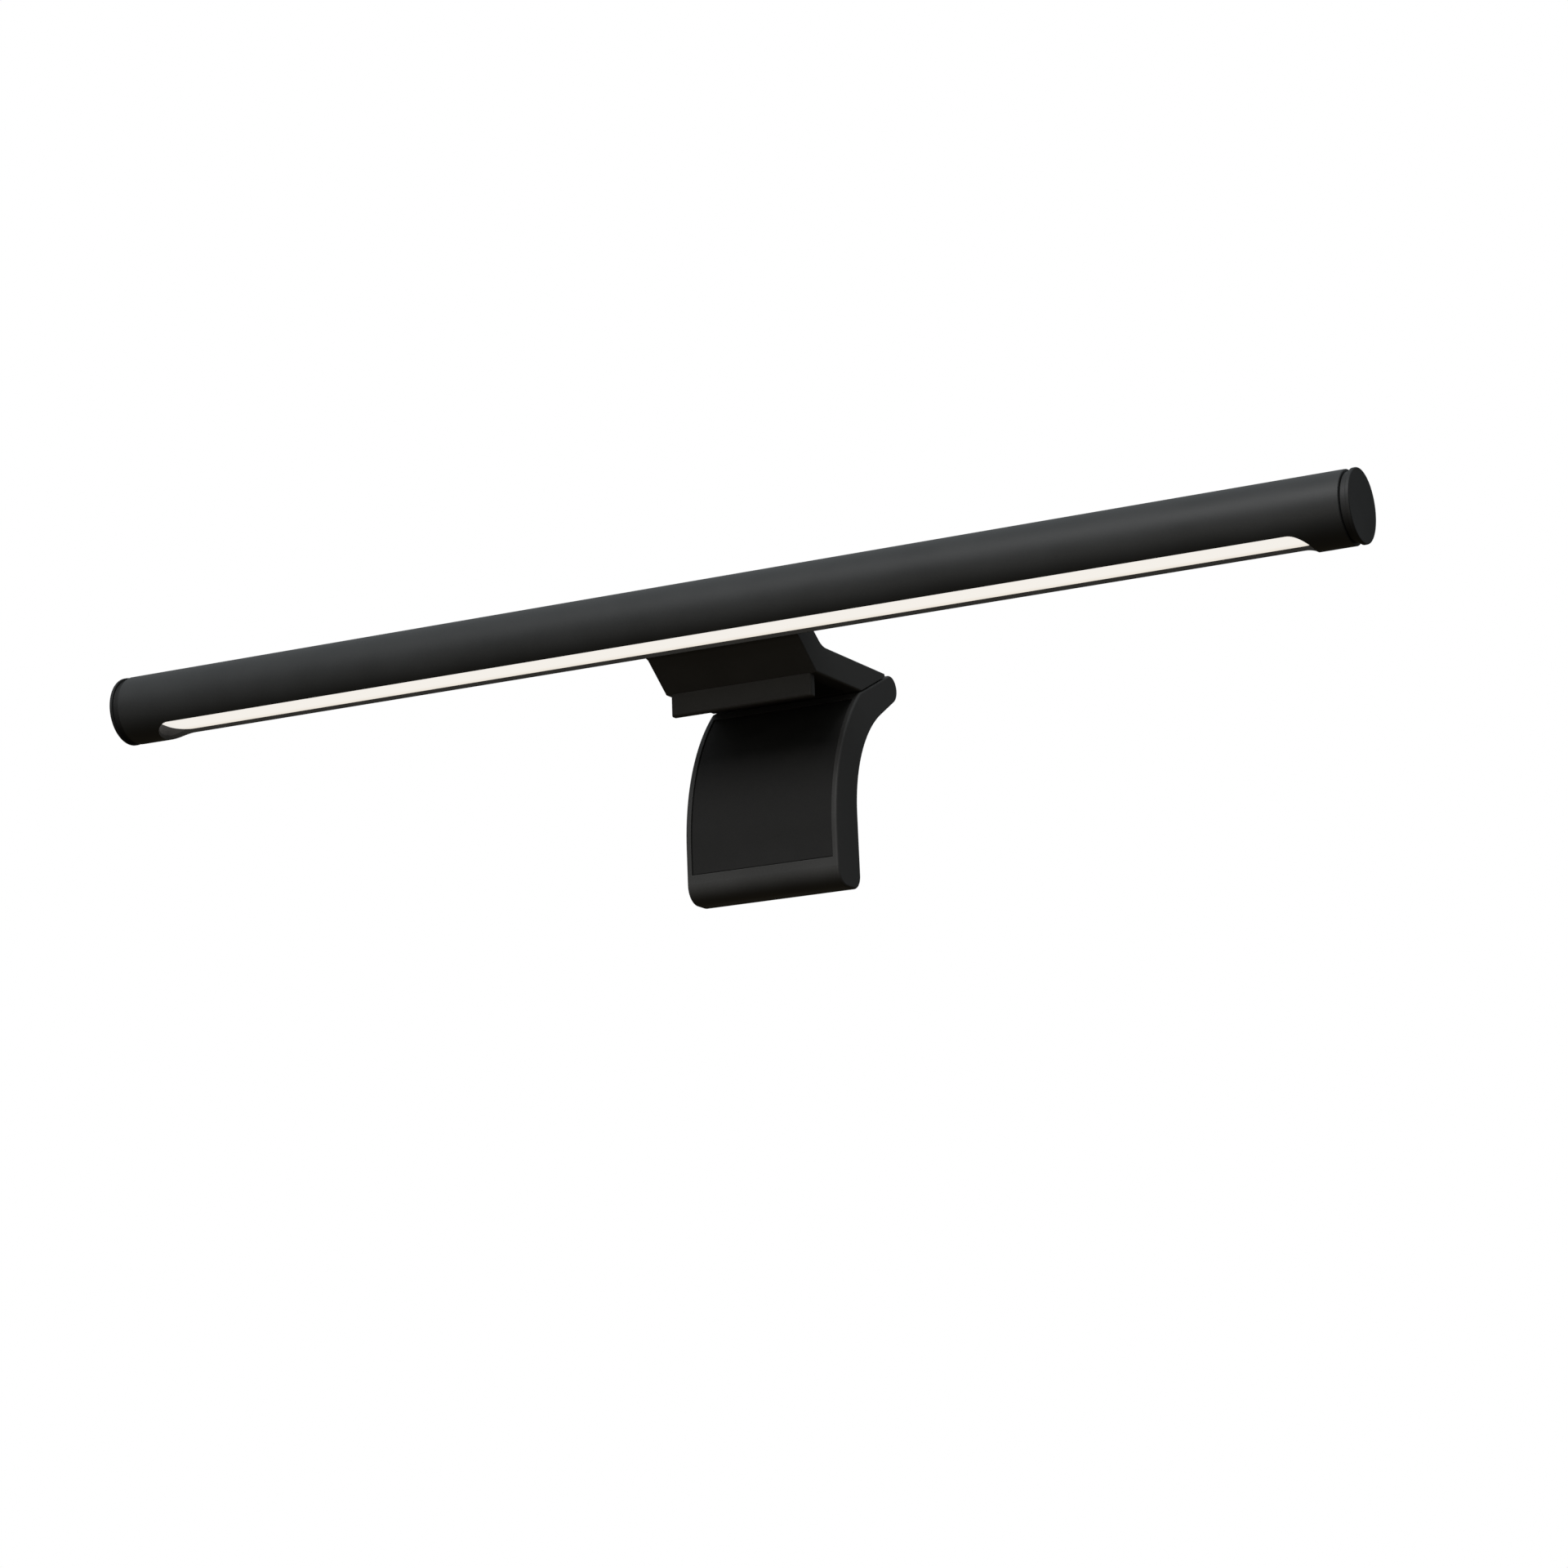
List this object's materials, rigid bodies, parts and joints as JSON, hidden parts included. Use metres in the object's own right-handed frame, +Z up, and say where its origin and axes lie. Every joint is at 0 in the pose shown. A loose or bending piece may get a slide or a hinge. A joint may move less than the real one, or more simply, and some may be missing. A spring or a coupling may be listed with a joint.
{
  "type": "monitor light bar",
  "caption": "Slim round light bar on a magnetic saddle bracket, with a lip in front of a display's top edge and a sprung, weighted leg hinged behind it.",
  "frame": {"origin": "middle of the underside of the rest pad, which stands on the display's top edge", "axes": "+X along the bar to the end seen in the picture's right, +Y behind the display, +Z up"},
  "size_m": [0.4462, 0.095, 0.096],
  "materials": {
    "bar_shell": "matte charcoal coating on aluminium",
    "bar_cap": "fine matte",
    "diffuser": "opal, satin",
    "bracket_plastic": "fine spark-eroded texture",
    "soft_pad": "silicone, matte",
    "steel": "zinc plated",
    "spring_steel": "oiled",
    "bearing_plastic": "natural acetal",
    "magnet": "nickel plated",
    "reflector": "white coated",
    "circuit_board": "solder mask",
    "led_warm": "phosphor",
    "led_cool": "phosphor",
    "chip": "moulded",
    "inner_plastic": "moulded"
  },
  "bodies": {
    "bracket": {"bracket_body": "bracket_plastic", "bracket_cover": "bracket_plastic", "cover_screws": "steel", "hook_plate": "bracket_plastic", "hook_screws": "steel", "lip_pad": "soft_pad", "rest_pad": "soft_pad", "saddle_pad": "soft_pad", "seat_magnets": "magnet", "magnet_yoke": "steel", "hinge_bushes": "bearing_plastic", "torsion_spring": "spring_steel"},
    "light_bar": {"tube_housing": "bar_shell", "end_cap_left": "bar_cap", "end_cap_right": "bar_cap", "end_plates": "inner_plastic", "end_screws": "steel", "diffuser": "diffuser", "slot_end_blocks": "inner_plastic", "led_carrier": "reflector", "led_board": "circuit_board", "warm_leds": "led_warm", "cool_leds": "led_cool", "main_board": "circuit_board", "radio_shield": "steel", "board_parts": "chip", "board_screws": "steel", "usb_socket": "steel", "usb_board": "circuit_board", "keeper_plate": "steel"},
    "rear_leg": {"hinge_pin": "steel", "leg_shell": "bracket_plastic", "leg_back_cover": "bracket_plastic", "counterweight": "steel", "leg_pad": "soft_pad", "leg_screws": "steel"}
  },
  "joints": [
    {"name": "bar_tilt", "type": "hinge", "parent": "bracket", "child": "light_bar", "pos_m": [0, -0.042, 0.0175], "axis": [1, 0, 0], "range_deg": [-25, 25]},
    {"name": "leg_hinge", "type": "hinge", "parent": "bracket", "child": "rear_leg", "pos_m": [0, 0.0368, 0.0054], "axis": [1, 0, 0], "range_deg": [0, 60], "stiffness_Nm_per_rad": 0.12, "springref_deg": -97.4}
  ]
}
